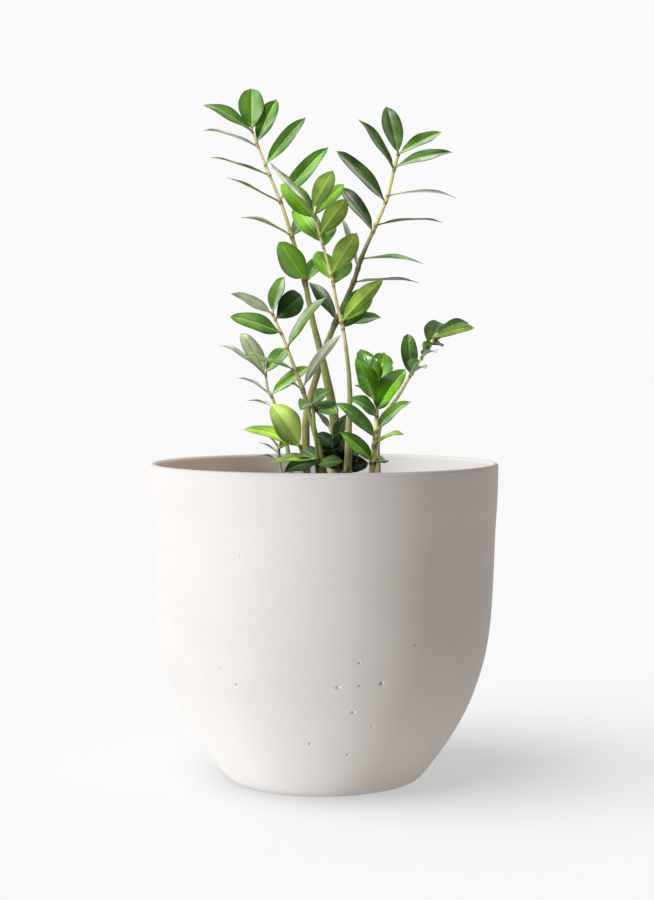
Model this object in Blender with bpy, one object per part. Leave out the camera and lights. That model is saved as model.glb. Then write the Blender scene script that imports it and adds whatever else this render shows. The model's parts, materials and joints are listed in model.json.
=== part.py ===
"""A young ZZ plant (Zamioculcas) growing in soil in a rounded fibre-clay pot.

Origin: centre of the pot's flat underside. +Z is up, the plant's best side faces -Y.
Lengths below are in millimetres unless they end in _M; mesh data is written in metres.
"""

import math

import bmesh
import bpy
from mathutils import Matrix, Vector

MM = 0.001

# Pot
POT_HEIGHT = 272.0
POT_WALL = 5.0
POT_FLOOR = 9.0
POT_SEGMENTS = 48
LIP_ROUND = 1.6
# Outer wall, (radius, height), from the flat foot to the straight rim.
POT_WALL_POINTS = (
    (82, 0),
    (90, 8),
    (109, 34.5),
    (124, 61),
    (134, 87),
    (140.5, 112),
    (144, 138),
    (146, 170),
    (147.5, 210),
    (149.3, 240),
    (150, 268),
)

# Soil
SOIL_EDGE = 238.0
SOIL_CROWN = 243.0
FIT_GAP = 0.4
PLANTED_DEPTH = 12.0

# Leaf blades
BLADE_THICKNESS = 1.1
BLADE_FOLD = 0.07
BLADE_STATIONS = (0.05, 0.18, 0.36, 0.56, 0.76, 0.92)
STALK_GAP = 0.5
STEM_SIDES = 8
STEM_STEPS_PER_SPAN = 2
STEM_TAPER = 1.3

# Each stem: points it passes through from the soil upward, radius at the soil, radius at the top.
STEMS = {
    "stem_left": (
        ((12, 12, 239), (10, 10, 300), (1, 6, 350), (-10, 2, 395), (-16, 0, 425),
         (-27, 0, 464), (-36, 2, 492), (-47, 4, 519), (-62, 8, 557)),
        6.0, 1.4,
    ),
    "stem_right": (
        ((-15, 26, 239), (-16, 24, 299), (-13, 24, 323), (-6, 24, 347), (2, 24, 373),
         (12, 24, 397), (25, 26, 426), (33, 28, 450), (44, 30, 475), (55, 32, 501),
         (60, 32, 521), (65, 32, 540)),
        4.2, 1.4,
    ),
    "stem_centre": (
        ((20, -22, 240), (21, -24, 301), (22, -26, 331), (20, -28, 359), (16, -30, 387),
         (11, -32, 407), (6, -36, 432), (-3, -42, 463), (-10, -46, 487)),
        4.2, 1.4,
    ),
    "stem_side": (
        ((4, -14, 240), (-5, -18, 288), (-12, -20, 313), (-18, -22, 335), (-27, -22, 359),
         (-35, -20, 380), (-44, -16, 400)),
        3.9, 1.3,
    ),
}

# Low shoots, each one piece with its small leaflets.
SHOOTS = {
    "shoot_back_left": (
        ((-28, 30, 239), (-32, 32, 281), (-38, 36, 303), (-45, 40, 325), (-50, 42, 335),
         (-52, 44, 350)),
        2.6, 1.0,
    ),
    "shoot_front_left": (((-13, -42, 240), (-18, -44, 277), (-20, -46, 289)), 1.9, 1.3),
    "shoot_far_left": (((-34, 0, 240), (-38, -2, 272), (-39, -4, 285)), 1.6, 1.0),
    "shoot_front_right": (
        ((38, -46, 240), (42, -46, 285), (44, -46, 303), (44, -44, 317), (43, -42, 329)),
        3.6, 1.4,
    ),
    "shoot_right_curved": (
        ((48, -14, 240), (46, -12, 288), (51, -8, 311), (63, -4, 328), (74, 0, 346),
         (84, 2, 362), (93, 2, 376), (98, 2, 383)),
        2.4, 1.1,
    ),
    "shoot_front_centre": (
        ((-5, -40, 240), (-6, -42, 285), (-8, -44, 306), (-9, -46, 324)), 2.2, 1.2,
    ),
    "shoot_middle": (((16, -4, 240), (14, -4, 270), (9, -2, 287), (8, 0, 295)), 2.2, 1.2),
}

# Leaflets, one row each: share of the stem's length where it grows, reach from base to tip
# (x, y, z), width, turn of the blade about its own axis in degrees (0 is edge-on from -Y,
# 90 shows the upper side to -Y), and arch as a share of its length.
LEAFLETS = {
    "stem_left": (
        (1.00, (-42, 11, 25), 17, 45, 0.06),
        (1.00, (-1, 16, 39), 22, 88, 0.04),
        (0.96, (16, 16, 42), 19, 80, 0.06),
        (0.90, (34, 0, 42), 17, 75, 0.05),
        (0.80, (41, 0, 47), 19, 75, 0.06),
        (0.95, (-48, 9, 18), 16, 8, 0.10),
        (0.87, (-50, 0, 18), 15, 0, 0.09),
        (0.79, (-47, 0, 25), 15, 0, 0.06),
        (0.70, (-42, -22, 17), 16, 8, 0.12),
        (0.70, (18, 32, 24), 18, 60, 0.06),
        (0.57, (-22, -23, 36), 23, 82, 0.08),
        (0.57, (12, 28, 26), 16, 70, 0.06),
        (0.58, (-18, 37, 15), 14, -15, 0.06),
    ),
    "stem_right": (
        (1.00, (-10, 15, 44), 21, 78, 0.05),
        (1.00, (39, 17, 22), 15, 60, 0.05),
        (0.96, (49, -14, 13), 15, 55, 0.08),
        (0.95, (-30, 0, 46), 14, 45, 0.04),
        (0.86, (-42, 0, 46), 18, 62, 0.06),
        (0.77, (-29, 25, 43), 17, 60, 0.06),
        (0.88, (60, 0, 0), 14, 8, 0.13),
        (0.79, (58, 0, 5), 13, 0, 0.11),
        (0.69, (53, -12, -3), 16, 14, 0.17),
        (0.62, (57, 0, 2), 14, 6, 0.10),
        (0.65, (-14, 7, 51), 13, 60, 0.05),
        (0.49, (42, 21, 9), 17, 50, 0.06),
        (0.50, (-23, 20, 37), 16, 55, 0.06),
    ),
    "stem_centre": (
        (0.99, (17, -27, 31), 19, -80, 0.04),
        (1.00, (-34, -23, 32), 14, -45, 0.05),
        (0.97, (25, 25, 30), 16, 70, 0.05),
        (0.95, (-28, -25, 31), 21, 75, 0.06),
        (0.90, (22, -27, 30), 21, -82, 0.04),
        (0.87, (-25, 26, 35), 22, 78, 0.05),
        (0.76, (21, -27, 36), 22, -84, 0.04),
        (0.74, (-14, 26, 29), 19, 76, 0.05),
        (0.73, (12, 31, 25), 19, 80, 0.05),
        (0.86, (5, 28, 25), 18, 80, 0.05),
        (0.60, (34, -23, 37), 17, -72, 0.06),
        (0.60, (25, 24, 31), 23, 80, 0.06),
        (0.58, (20, 27, 25), 18, 82, 0.05),
    ),
    "stem_side": (
        (1.00, (9, 21, 33), 16, 62, 0.06),
        (0.96, (22, 28, 23), 21, 100, 0.05),
        (0.98, (-37, 22, 21), 14, -52, 0.06),
        (0.88, (-42, -22, 15), 19, 62, 0.08),
        (0.80, (32, -16, 44), 14, 48, 0.06),
        (0.68, (-43, -24, 13), 14, 14, 0.07),
        (0.58, (32, -14, 48), 14, -48, 0.05),
        (0.57, (-11, 25, 7), 9, 0, 0.05),
    ),
    "shoot_back_left": (
        (0.98, (-22, 10, 37), 17, 72, 0.05),
        (0.97, (-40, 0, 28), 12, 20, 0.06),
        (0.99, (20, 26, 23), 16, 66, 0.06),
        (0.80, (-31, 14, 17), 11, 4, 0.08),
        (0.81, (35, 10, 26), 14, 60, 0.08),
        (0.70, (-26, 21, 7), 10, 4, 0.06),
    ),
    "shoot_front_left": (
        (0.99, (-23, -23, 35), 27, 84, 0.06),
        (0.97, (-47, -11, 16), 16, 42, 0.08),
    ),
    "shoot_far_left": (
        (0.97, (-11, 18, 11), 7, 0, 0.06),
        (0.87, (-18, 16, 10), 7, 0, 0.06),
        (0.75, (-19, 14, 4), 7, 0, 0.08),
        (0.97, (10, 20, 8), 9, 60, 0.06),
    ),
    "shoot_front_right": (
        (0.99, (-12, 17, 42), 20, 80, 0.06),
        (0.98, (-16, -21, 35), 19, 78, 0.05),
        (0.99, (8, 16, 39), 22, 84, 0.06),
        (0.87, (23, -21, 35), 20, 66, 0.08),
        (0.68, (27, -25, 26), 14, 42, 0.08),
        (0.55, (23, -25, 11), 10, 16, 0.08),
        (0.82, (-23, -29, 16), 15, 50, 0.08),
        (0.62, (-33, -21, 30), 15, 55, 0.06),
        (0.40, (-27, -19, 25), 15, 60, 0.06),
        (0.38, (12, 23, 1), 13, 35, 0.08),
        (0.96, (-17, 24, 14), 9, 5, 0.04),
    ),
    "shoot_right_curved": (
        (0.73, (-2, 10, 36), 16, 84, 0.04),
        (0.75, (4, -23, 10), 15, 35, 0.12),
        (0.75, (10, -21, 4), 10, -20, 0.10),
        (0.85, (0, -21, 12), 14, 35, 0.12),
        (0.85, (11, -20, 4), 10, -20, 0.10),
        (0.92, (12, 27, 21), 18, 70, 0.08),
        (0.98, (30, 19, 13), 12, 45, 0.12),
        (0.97, (32, -22, 9), 12, 52, 0.08),
        (0.93, (11, 23, 1), 12, 50, 0.06),
    ),
    "shoot_front_centre": (
        (0.98, (-10, -33, -2), 16, 25, 0.10),
        (0.98, (14, -30, 13), 14, 45, 0.10),
        (0.96, (20, -28, -4), 18, 48, 0.10),
        (0.94, (15, -24, -19), 9, -35, 0.06),
        (0.44, (-36, -22, -1), 11, 42, 0.06),
        (0.42, (-27, -28, -7), 15, 52, 0.06),
        (0.43, (-12, 26, 8), 14, 60, 0.06),
        (0.38, (21, -8, 4), 13, 52, 0.06),
    ),
    "shoot_middle": (
        (0.86, (12, 4, 27), 13, 65, 0.06),
        (0.78, (-18, 13, 13), 12, 60, 0.06),
        (0.71, (3, -18, 12), 9, 55, 0.06),
        (0.65, (2, -20, 9), 10, 55, 0.06),
        (0.71, (-15, 9, 9), 14, 70, 0.06),
        (0.75, (9, -8, 17), 13, 70, 0.06),
        (0.54, (24, 15, -2), 14, 50, 0.06),
    ),
}

# Linear base colours
LEAF_COLOURS = {
    "stem_left": (0.07, 0.28, 0.04),
    "stem_right": (0.03, 0.12, 0.03),
    "stem_centre": (0.14, 0.36, 0.05),
    "stem_side": (0.05, 0.20, 0.05),
}
STEM_COLOURS = {
    "stem_left": (0.36, 0.34, 0.14),
    "stem_right": (0.20, 0.18, 0.08),
    "stem_centre": (0.55, 0.46, 0.26),
    "stem_side": (0.40, 0.40, 0.18),
    "shoot_back_left": (0.16, 0.30, 0.09),
    "shoot_front_left": (0.25, 0.48, 0.08),
    "shoot_far_left": (0.18, 0.30, 0.10),
    "shoot_front_right": (0.08, 0.32, 0.03),
    "shoot_right_curved": (0.10, 0.28, 0.05),
    "shoot_front_centre": (0.12, 0.32, 0.05),
    "shoot_middle": (0.05, 0.16, 0.03),
}
POT_COLOUR = (0.76, 0.71, 0.67)
SOIL_COLOUR = (0.09, 0.055, 0.035)


def clear_scene():
    for obj in list(bpy.data.objects):
        bpy.data.objects.remove(obj, do_unlink=True)


def make_material(name, colour, roughness):
    material = bpy.data.materials.new(name)
    material.use_nodes = True
    shader = material.node_tree.nodes["Principled BSDF"]
    shader.inputs["Base Color"].default_value = (*colour, 1.0)
    shader.inputs["Roughness"].default_value = roughness
    shader.inputs["Metallic"].default_value = 0.0
    material.diffuse_color = (*colour, 1.0)
    return material


def make_object(name, mesh_data, material):
    """One object from a bmesh in millimetres, faces turned outward."""
    bmesh.ops.recalc_face_normals(mesh_data, faces=mesh_data.faces)
    bmesh.ops.transform(mesh_data, matrix=Matrix.Scale(MM, 4), verts=mesh_data.verts)
    mesh = bpy.data.meshes.new(name)
    mesh_data.to_mesh(mesh)
    mesh_data.free()
    mesh.materials.append(material)
    mesh.shade_smooth()
    mesh.set_sharp_from_angle(angle=math.radians(40))
    obj = bpy.data.objects.new(name, mesh)
    bpy.context.scene.collection.objects.link(obj)
    return obj


def hide_helper(obj):
    obj.hide_render = True
    obj.display_type = "WIRE"


def smooth_curve(points, steps):
    """Points on a Catmull-Rom curve through the given ones."""
    knots = [Vector(p) for p in points]
    knots = [2 * knots[0] - knots[1]] + knots + [2 * knots[-1] - knots[-2]]
    curve = []
    for a, b, c, d in zip(knots, knots[1:], knots[2:], knots[3:]):
        for step in range(steps):
            t = step / steps
            curve.append(
                0.5 * (2 * b + (c - a) * t + (2 * a - 5 * b + 4 * c - d) * t * t
                       + (3 * b - a - 3 * c + d) * t ** 3)
            )
    curve.append(knots[-2])
    return curve


def lathe(name, profile, segments, material):
    """Turns an (radius, height) profile that starts and ends on the axis."""
    mesh_data = bmesh.new()
    verts = [mesh_data.verts.new((r, 0.0, z)) for r, z in profile]
    edges = [mesh_data.edges.new(pair) for pair in zip(verts, verts[1:])]
    bmesh.ops.spin(
        mesh_data, geom=verts + edges, cent=(0, 0, 0), axis=(0, 0, 1),
        angle=math.tau, steps=segments, use_duplicate=False,
    )
    bmesh.ops.remove_doubles(mesh_data, verts=mesh_data.verts, dist=0.001)
    return make_object(name, mesh_data, material)


def outer_wall():
    return [(p.x, p.z) for p in smooth_curve([(r, 0, z) for r, z in POT_WALL_POINTS], 1)]


def inner_wall(offset, top):
    """The outer wall moved in by offset along its normal, from the pot's floor up to top."""
    outer = outer_wall()
    moved = []
    for index, (r, z) in enumerate(outer):
        before = outer[max(index - 1, 0)]
        after = outer[min(index + 1, len(outer) - 1)]
        along = Vector((after[0] - before[0], after[1] - before[1])).normalized()
        moved.append((r - offset * along.y, z + offset * along.x))
    floor = POT_FLOOR + offset - POT_WALL
    kept = [p for p in moved if floor + 1.0 < p[1] < top - 1.0]
    low = next(p for p in moved if p[1] > floor + 1.0)
    high = kept[-1]
    return [(low[0] - 8.0, floor)] + kept + [(high[0] + 0.01 * (top - high[1]), top)]


def make_pot(material):
    top = POT_HEIGHT
    rim = POT_WALL_POINTS[-1][0]
    lip = [
        (rim, top - LIP_ROUND),
        (rim - 0.3 * LIP_ROUND, top - 0.3 * LIP_ROUND),
        (rim - LIP_ROUND, top),
        (rim - POT_WALL + LIP_ROUND, top),
        (rim - POT_WALL + 0.3 * LIP_ROUND, top - 0.3 * LIP_ROUND),
    ]
    inside = inner_wall(POT_WALL, top - LIP_ROUND)
    profile = [(0, 0)] + outer_wall() + lip + inside[::-1] + [(0, POT_FLOOR)]
    return lathe("pot", profile, POT_SEGMENTS, material)


def make_soil(material):
    inside = inner_wall(POT_WALL + FIT_GAP, SOIL_EDGE)
    edge = inside[-1][0]
    crown = SOIL_CROWN - SOIL_EDGE
    top = [(edge * s, SOIL_EDGE + crown * (1 - s * s)) for s in (0.75, 0.5, 0.25)]
    profile = [(0, inside[0][1])] + inside + top + [(0, SOIL_CROWN)]
    return lathe("soil", profile, POT_SEGMENTS // 2, material)


def frames_along(curve):
    """Across and over directions at each point of a curve, without twist."""
    frames = []
    across = Vector((1, 0, 0))
    for index, point in enumerate(curve):
        before = curve[max(index - 1, 0)]
        after = curve[min(index + 1, len(curve) - 1)]
        along = (after - before).normalized()
        across = (across - across.dot(along) * along).normalized()
        frames.append((point, across, along.cross(across)))
    return frames


def tube(curve, radii):
    """A closed tapering tube with a blunt point at its upper end."""
    mesh_data = bmesh.new()
    rings = []
    for (point, across, over), radius in zip(frames_along(curve), radii):
        ring = []
        for side in range(STEM_SIDES):
            angle = math.tau * side / STEM_SIDES
            offset = radius * (math.cos(angle) * across + math.sin(angle) * over)
            ring.append(mesh_data.verts.new(point + offset))
        rings.append(ring)
    for lower, upper in zip(rings, rings[1:]):
        for side in range(STEM_SIDES):
            after = (side + 1) % STEM_SIDES
            mesh_data.faces.new((lower[side], lower[after], upper[after], upper[side]))
    mesh_data.faces.new(rings[0][::-1])
    mesh_data.faces.new(rings[-1])
    return mesh_data


def stem_curve(points):
    return smooth_curve(points, STEM_STEPS_PER_SPAN)


def lengths_along(curve):
    lengths = [0.0]
    for a, b in zip(curve, curve[1:]):
        lengths.append(lengths[-1] + (b - a).length)
    return lengths


def planted(curve, depth):
    return [curve[0] - Vector((0, 0, depth))] + curve


def stem_radius(low_radius, top_radius, share):
    return top_radius + (low_radius - top_radius) * (1.0 - share) ** STEM_TAPER


def make_stem(name, points, low_radius, top_radius, material):
    curve = stem_curve(points)
    lengths = lengths_along(curve)
    radii = [stem_radius(low_radius, top_radius, at / lengths[-1]) for at in lengths]
    return make_object(name, tube(planted(curve, PLANTED_DEPTH), [low_radius] + radii), material)


def cut_socket(soil, name, points, low_radius, material):
    """A hole in the soil round one planted stem."""
    foot = stem_curve(points)[:2]
    foot[1] = foot[0] + (foot[1] - foot[0]).normalized() * 20.0
    radius = low_radius + FIT_GAP
    mesh_data = tube(planted(foot, PLANTED_DEPTH + FIT_GAP), [radius] * 3)
    cutter = make_object("socket_" + name, mesh_data, material)
    hide_helper(cutter)
    cut = soil.modifiers.new("socket_" + name, "BOOLEAN")
    cut.operation = "DIFFERENCE"
    cut.solver = "EXACT"
    cut.object = cutter


def blade(base, reach, width, turn, arch):
    """A thin pointed leaflet from its base to base + reach, as a closed bmesh."""
    mesh_data = bmesh.new()
    length = reach.length
    along = reach.normalized()
    front = Vector((0, -1, 0))
    front = (front - front.dot(along) * along).normalized()
    side = along.cross(front)
    if side.z < 0:
        side = -side
    angle = math.radians(turn)
    normal = math.cos(angle) * side + math.sin(angle) * front
    across = along.cross(normal)

    def middle(share):
        lift = 4.0 * arch * length * share * (1.0 - share)
        return base + along * (length * share) + normal * lift

    ends = (mesh_data.verts.new(middle(0.0)), mesh_data.verts.new(middle(1.0)))
    rings = []
    for share in BLADE_STATIONS:
        half = 0.5 * width * math.sin(math.pi * share ** 0.9) ** 0.75
        thick = BLADE_THICKNESS * (0.4 + 0.6 * math.sin(math.pi * share))
        centre = middle(share)
        edge = normal * (BLADE_FOLD * width * half / (0.5 * width))
        rings.append([
            mesh_data.verts.new(centre + across * half + edge),
            mesh_data.verts.new(centre + normal * thick * 0.5),
            mesh_data.verts.new(centre - across * half + edge),
            mesh_data.verts.new(centre - normal * thick * 0.5),
        ])
    for lower, upper in zip(rings, rings[1:]):
        for corner in range(4):
            after = (corner + 1) % 4
            mesh_data.faces.new((lower[corner], lower[after], upper[after], upper[corner]))
    for corner in range(4):
        after = (corner + 1) % 4
        mesh_data.faces.new((ends[0], rings[0][after], rings[0][corner]))
        mesh_data.faces.new((ends[1], rings[-1][corner], rings[-1][after]))
    bmesh.ops.triangulate(mesh_data, faces=mesh_data.faces)
    return mesh_data


def place_on(points, low_radius, top_radius, share):
    """Centre, upward direction and radius of a stem at a share of its length."""
    curve = stem_curve(points)
    lengths = lengths_along(curve)
    at = share * lengths[-1]
    index = max(i for i, length in enumerate(lengths[:-1]) if length <= at)
    step = curve[index + 1] - curve[index]
    centre = curve[index] + step * ((at - lengths[index]) / step.length)
    return centre, step.normalized(), stem_radius(low_radius, top_radius, share)


def free_leaflet(name, stem, row, material):
    """A leaflet that starts just clear of its stem."""
    share, reach, width, turn, arch = row
    reach = Vector(reach)
    centre, upward, radius = place_on(*stem, share)
    angle = upward.angle(reach)
    clear = (radius + STALK_GAP) / max(math.sin(angle), 0.35)
    base = centre + reach.normalized() * clear
    tip = centre + reach
    return make_object(name, blade(base, tip - base, width, turn, arch), material)


def grown_leaflets(name, stem, rows, body, material):
    """Leaflets joined to a shoot by a Boolean union."""
    helpers = bpy.data.collections.new(name + "_leaflets")
    bpy.context.scene.collection.children.link(helpers)
    for number, (share, reach, width, turn, arch) in enumerate(rows, start=1):
        centre, _, _ = place_on(*stem, share)
        mesh_data = blade(centre, Vector(reach), width, turn, arch)
        helper = make_object(f"{name}_blade_{number:02d}", mesh_data, material)
        bpy.context.scene.collection.objects.unlink(helper)
        helpers.objects.link(helper)
        hide_helper(helper)
    union = body.modifiers.new("leaflets", "BOOLEAN")
    union.operation = "UNION"
    union.solver = "EXACT"
    union.use_self = True
    union.operand_type = "COLLECTION"
    union.collection = helpers


def build():
    clear_scene()
    make_pot(make_material("fibre_clay", POT_COLOUR, 0.85))
    earth = make_material("potting_soil", SOIL_COLOUR, 0.95)
    soil = make_soil(earth)
    for name, stem in {**STEMS, **SHOOTS}.items():
        material = make_material(name + "_green", STEM_COLOURS[name], 0.5)
        body = make_stem(name, *stem, material)
        cut_socket(soil, name, stem[0], stem[1], earth)
        if name in SHOOTS:
            grown_leaflets(name, stem, LEAFLETS[name], body, material)
            continue
        leaf = make_material(name + "_leaf_green", LEAF_COLOURS[name], 0.35)
        for number, row in enumerate(LEAFLETS[name], start=1):
            free_leaflet(f"{name.replace('stem', 'leaf')}_{number:02d}", stem, row, leaf)


build()
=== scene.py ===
"""The looks of the potted ZZ plant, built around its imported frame.

Every position comes from the frame or from the shoots' own design below; lengths are in metres
unless a name says millimetres (MM).
"""

import json
import math
import random

import bmesh
import bpy
import numpy as np
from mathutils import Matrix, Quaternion, Vector, noise

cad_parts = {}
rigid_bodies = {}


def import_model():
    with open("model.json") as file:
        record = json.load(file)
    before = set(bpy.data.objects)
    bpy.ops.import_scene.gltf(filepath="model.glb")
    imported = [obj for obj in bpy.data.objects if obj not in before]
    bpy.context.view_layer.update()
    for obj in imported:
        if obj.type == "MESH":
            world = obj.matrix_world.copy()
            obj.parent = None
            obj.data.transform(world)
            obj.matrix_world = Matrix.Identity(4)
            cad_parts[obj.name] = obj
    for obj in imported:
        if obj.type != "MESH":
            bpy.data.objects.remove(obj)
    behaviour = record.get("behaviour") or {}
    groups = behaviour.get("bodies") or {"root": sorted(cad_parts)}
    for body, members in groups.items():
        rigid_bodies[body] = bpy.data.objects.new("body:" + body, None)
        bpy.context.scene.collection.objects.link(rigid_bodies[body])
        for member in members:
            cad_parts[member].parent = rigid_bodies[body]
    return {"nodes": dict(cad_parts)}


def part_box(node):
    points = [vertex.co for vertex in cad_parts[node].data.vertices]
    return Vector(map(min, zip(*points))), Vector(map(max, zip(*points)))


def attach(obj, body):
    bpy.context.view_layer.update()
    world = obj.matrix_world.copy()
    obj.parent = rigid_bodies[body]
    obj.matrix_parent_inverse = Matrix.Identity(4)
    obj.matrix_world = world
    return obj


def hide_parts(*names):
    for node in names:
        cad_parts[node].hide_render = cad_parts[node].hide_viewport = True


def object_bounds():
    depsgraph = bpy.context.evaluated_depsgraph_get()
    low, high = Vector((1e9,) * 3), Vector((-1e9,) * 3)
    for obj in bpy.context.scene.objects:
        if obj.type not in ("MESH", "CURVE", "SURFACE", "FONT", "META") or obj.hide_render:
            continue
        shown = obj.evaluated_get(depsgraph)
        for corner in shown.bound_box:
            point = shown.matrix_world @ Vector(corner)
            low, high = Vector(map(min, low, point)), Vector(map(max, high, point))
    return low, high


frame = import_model()
CAD_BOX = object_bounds()
MM = 0.001

# ---------------------------------------------------------------- shoots, as in the CAD source
# Points from the soil upward, radius at the soil and radius at the top, in millimetres.
SHOOTS = {
    "shoot_back_left": (
        ((-28, 30, 239), (-32, 32, 281), (-38, 36, 303), (-45, 40, 325), (-50, 42, 335),
         (-52, 44, 350)),
        2.6, 1.0,
    ),
    "shoot_front_left": (((-13, -42, 240), (-18, -44, 277), (-20, -46, 289)), 1.9, 1.3),
    "shoot_far_left": (((-34, 0, 240), (-38, -2, 272), (-39, -4, 285)), 1.6, 1.0),
    "shoot_front_right": (
        ((38, -46, 240), (42, -46, 285), (44, -46, 303), (44, -44, 317), (43, -42, 329)),
        3.6, 1.4,
    ),
    "shoot_right_curved": (
        ((48, -14, 240), (46, -12, 288), (51, -8, 311), (63, -4, 328), (74, 0, 346),
         (84, 2, 362), (93, 2, 376), (98, 2, 383)),
        2.4, 1.1,
    ),
    "shoot_front_centre": (
        ((-5, -40, 240), (-6, -42, 285), (-8, -44, 306), (-9, -46, 324)), 2.2, 1.2,
    ),
    "shoot_middle": (((16, -4, 240), (14, -4, 270), (9, -2, 287), (8, 0, 295)), 2.2, 1.2),
}
# Share of the shoot's length, reach from base to tip, width, turn of the blade, arch.
SHOOT_LEAFLETS = {
    "shoot_back_left": (
        (0.98, (-22, 10, 37), 17, 72, 0.05),
        (0.97, (-40, 0, 28), 12, 20, 0.06),
        (0.99, (20, 26, 23), 16, 66, 0.06),
        (0.80, (-31, 14, 17), 11, 4, 0.08),
        (0.81, (35, 10, 26), 14, 60, 0.08),
        (0.70, (-26, 21, 7), 10, 4, 0.06),
    ),
    "shoot_front_left": (
        (0.99, (-23, -23, 35), 27, 84, 0.06),
        (0.97, (-47, -11, 16), 16, 42, 0.08),
    ),
    "shoot_far_left": (
        (0.97, (-11, 18, 11), 7, 0, 0.06),
        (0.87, (-18, 16, 10), 7, 0, 0.06),
        (0.75, (-19, 14, 4), 7, 0, 0.08),
        (0.97, (10, 20, 8), 9, 60, 0.06),
    ),
    "shoot_front_right": (
        (0.99, (-12, 17, 42), 20, 80, 0.06),
        (0.98, (-16, -21, 35), 19, 78, 0.05),
        (0.99, (8, 16, 39), 22, 84, 0.06),
        (0.87, (23, -21, 35), 20, 66, 0.08),
        (0.68, (27, -25, 26), 14, 42, 0.08),
        (0.55, (23, -25, 11), 10, 16, 0.08),
        (0.82, (-23, -29, 16), 15, 50, 0.08),
        (0.62, (-33, -21, 30), 15, 55, 0.06),
        (0.40, (-27, -19, 25), 15, 60, 0.06),
        (0.38, (12, 23, 1), 13, 35, 0.08),
        (0.96, (-17, 24, 14), 9, 5, 0.04),
    ),
    "shoot_right_curved": (
        (0.73, (-2, 10, 36), 16, 84, 0.04),
        (0.75, (4, -23, 10), 15, 35, 0.12),
        (0.75, (10, -21, 4), 10, -20, 0.10),
        (0.85, (0, -21, 12), 14, 35, 0.12),
        (0.85, (11, -20, 4), 10, -20, 0.10),
        (0.92, (12, 27, 21), 18, 70, 0.08),
        (0.98, (30, 19, 13), 12, 45, 0.12),
        (0.97, (32, -22, 9), 12, 52, 0.08),
        (0.93, (11, 23, 1), 12, 50, 0.06),
    ),
    "shoot_front_centre": (
        (0.98, (-10, -33, -2), 16, 25, 0.10),
        (0.98, (14, -30, 13), 14, 45, 0.10),
        (0.96, (20, -28, -4), 18, 48, 0.10),
        (0.94, (15, -24, -19), 9, -35, 0.06),
        (0.44, (-36, -22, -1), 11, 42, 0.06),
        (0.42, (-27, -28, -7), 15, 52, 0.06),
        (0.43, (-12, 26, 8), 14, 60, 0.06),
        (0.38, (21, -8, 4), 13, 52, 0.06),
    ),
    "shoot_middle": (
        (0.86, (12, 4, 27), 13, 65, 0.06),
        (0.78, (-18, 13, 13), 12, 60, 0.06),
        (0.71, (3, -18, 12), 9, 55, 0.06),
        (0.65, (2, -20, 9), 10, 55, 0.06),
        (0.71, (-15, 9, 9), 14, 70, 0.06),
        (0.75, (9, -8, 17), 13, 70, 0.06),
        (0.54, (24, 15, -2), 14, 50, 0.06),
    ),
}
# Small crowded leaves at the foot of the middle shoots, in the same form.
UNDERGROWTH = (
    (0.60, (20, -6, 12), 17, 62, 0.06),
    (0.56, (-4, -20, 10), 16, 60, 0.06),
    (0.50, (15, -18, 8), 17, 55, 0.06),
    (0.48, (-18, -8, 14), 16, 64, 0.06),
    (0.46, (24, 4, 6), 17, 58, 0.06),
    (0.62, (6, 16, 16), 18, 66, 0.06),
    (0.44, (6, -24, 4), 15, 52, 0.06),
    (0.58, (-14, 12, 16), 17, 66, 0.06),
)
STEM_TAPER = 1.3
TALL_STEMS = ("left", "right", "centre", "side")

# ---------------------------------------------------------------- looks
# Linear colours of a blade: upper side, its second tone, under side, midrib; then roughness.
LEAF_TONES = {
    "fresh": ((0.052, 0.168, 0.012), (0.105, 0.265, 0.028), (0.17, 0.3, 0.06), (0.33, 0.48, 0.13), 0.36),
    "bright": ((0.11, 0.285, 0.012), (0.16, 0.37, 0.024), (0.19, 0.38, 0.04), (0.35, 0.54, 0.11), 0.36),
    "olive": ((0.15, 0.275, 0.022), (0.2, 0.335, 0.04), (0.25, 0.405, 0.046), (0.44, 0.56, 0.17), 0.4),
    "dark": ((0.018, 0.052, 0.01), (0.042, 0.098, 0.02), (0.09, 0.15, 0.06), (0.15, 0.23, 0.1), 0.36),
    "shadow": ((0.01, 0.03, 0.006), (0.026, 0.06, 0.014), (0.05, 0.09, 0.034), (0.08, 0.13, 0.05), 0.36),
    "deep": ((0.044, 0.118, 0.014), (0.09, 0.195, 0.032), (0.16, 0.25, 0.09), (0.25, 0.37, 0.12), 0.36),
    "gloss": ((0.06, 0.2, 0.006), (0.115, 0.31, 0.014), (0.18, 0.38, 0.05), (0.28, 0.5, 0.08), 0.2),
    "lime": ((0.4, 0.62, 0.11), (0.53, 0.72, 0.2), (0.4, 0.56, 0.12), (0.64, 0.78, 0.34), 0.42),
    "silver": ((0.26, 0.34, 0.19), (0.6, 0.64, 0.51), (0.6, 0.64, 0.51), (0.16, 0.23, 0.1), 0.44),
    "pale": ((0.18, 0.25, 0.11), (0.42, 0.47, 0.33), (0.36, 0.42, 0.27), (0.12, 0.18, 0.06), 0.44),
}
GLOSSY_BELOW = 0.25
# Side veins: their pitch in tenths of a metre, and how much they lean towards the tip.
VEIN_PITCH = 0.042
VEIN_SWEEP = 0.9
# Painted sheen: pale colour painted on one half of some blades, standing for the light their wax reflects.
PAINTED_SHEEN = (0.430, 0.500, 0.390)
GROUP_TONE = {
    "leaf_left": "fresh",
    "leaf_right": "dark",
    "leaf_centre": "olive",
    "leaf_side": "deep",
    "shoot_back_left": "deep",
    "shoot_front_left": "lime",
    "shoot_far_left": "deep",
    "shoot_front_right": "gloss",
    "shoot_right_curved": "deep",
    "shoot_front_centre": "fresh",
    "shoot_middle": "shadow",
}
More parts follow.
